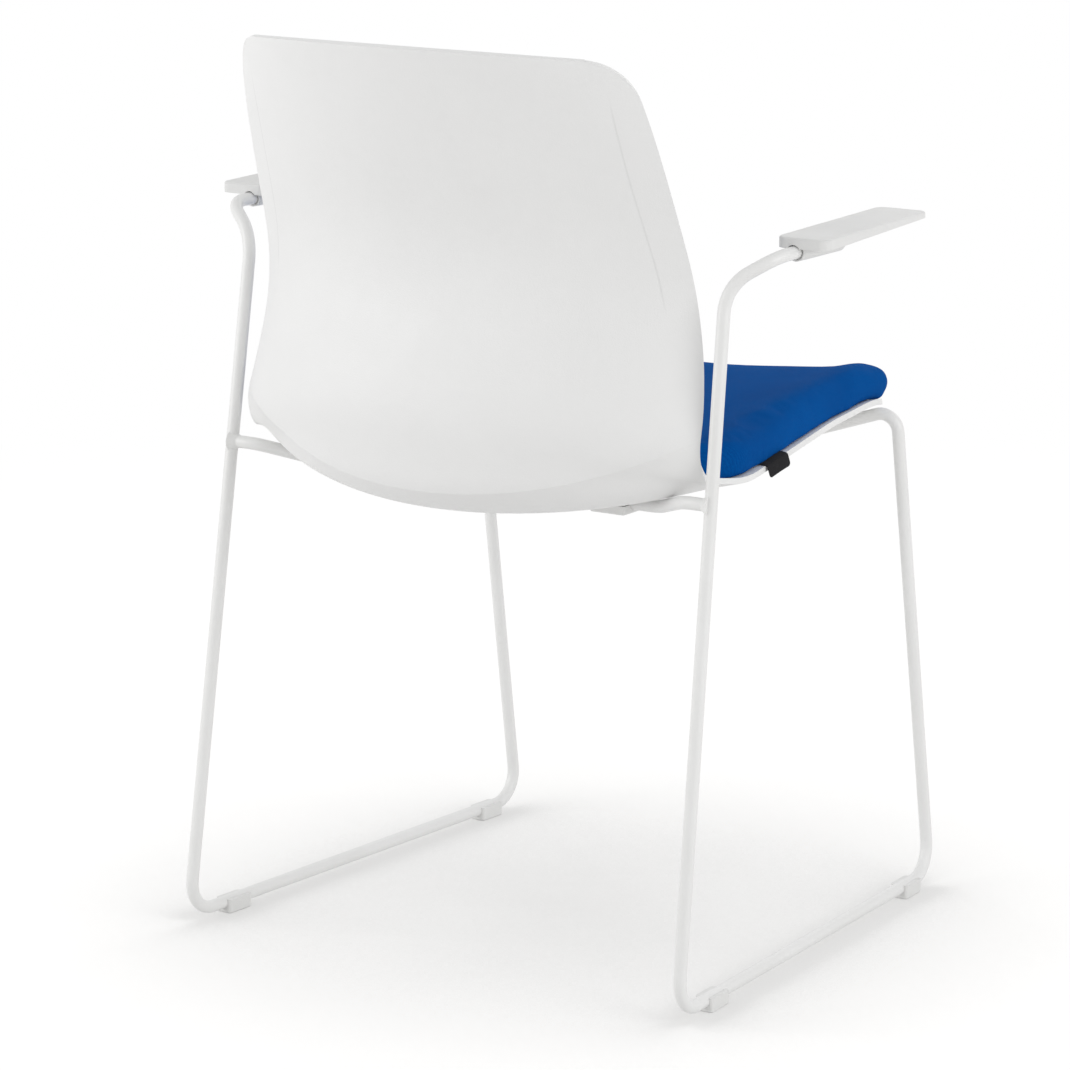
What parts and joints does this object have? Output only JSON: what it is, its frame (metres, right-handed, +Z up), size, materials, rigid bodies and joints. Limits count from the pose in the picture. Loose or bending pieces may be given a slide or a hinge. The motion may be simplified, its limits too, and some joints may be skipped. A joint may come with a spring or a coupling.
{
  "type": "visitor chair",
  "caption": "Stacking visitor chair with a bent rod sled frame, one-piece curved plastic shell, blue seat cushion and slim arm pads.",
  "frame": {"origin": "on the floor, in the middle of the chair's width and depth", "axes": "+Z up; the sitter faces -Y; +X is the sitter's left"},
  "size_m": [0.613, 0.5353, 0.7935],
  "materials": {
    "frame_paint": "satin powder coat, pale grey",
    "shell_plastic": "fine matte moulding, off-white",
    "cushion_fabric": "woven wool-like cloth, blue",
    "pad_plastic": "fine matte moulding, pale grey",
    "glide_plastic": "matte moulding, pale grey",
    "clamp_plastic": "matte moulding, off-white",
    "board_plastic": "plain black moulding",
    "zinc_steel": "bright zinc plate",
    "label_fabric": "black woven tape"
  },
  "bodies": {
    "root": {"left_side_frame": "frame_paint", "right_side_frame": "frame_paint", "rear_cross_rod": "frame_paint", "left_rear_glide": "glide_plastic", "left_front_glide": "glide_plastic", "right_rear_glide": "glide_plastic", "right_front_glide": "glide_plastic", "left_arm_pad": "pad_plastic", "right_arm_pad": "pad_plastic", "left_arm_pad_screws": "zinc_steel", "right_arm_pad_screws": "zinc_steel", "left_front_clamp": "clamp_plastic", "right_front_clamp": "clamp_plastic", "left_rear_clamp": "clamp_plastic", "right_rear_clamp": "clamp_plastic", "clamp_screws": "zinc_steel", "seat_back_shell": "shell_plastic", "seat_board": "board_plastic", "seat_board_screws": "zinc_steel", "seat_cushion": "cushion_fabric", "cushion_label": "label_fabric"}
  },
  "joints": []
}
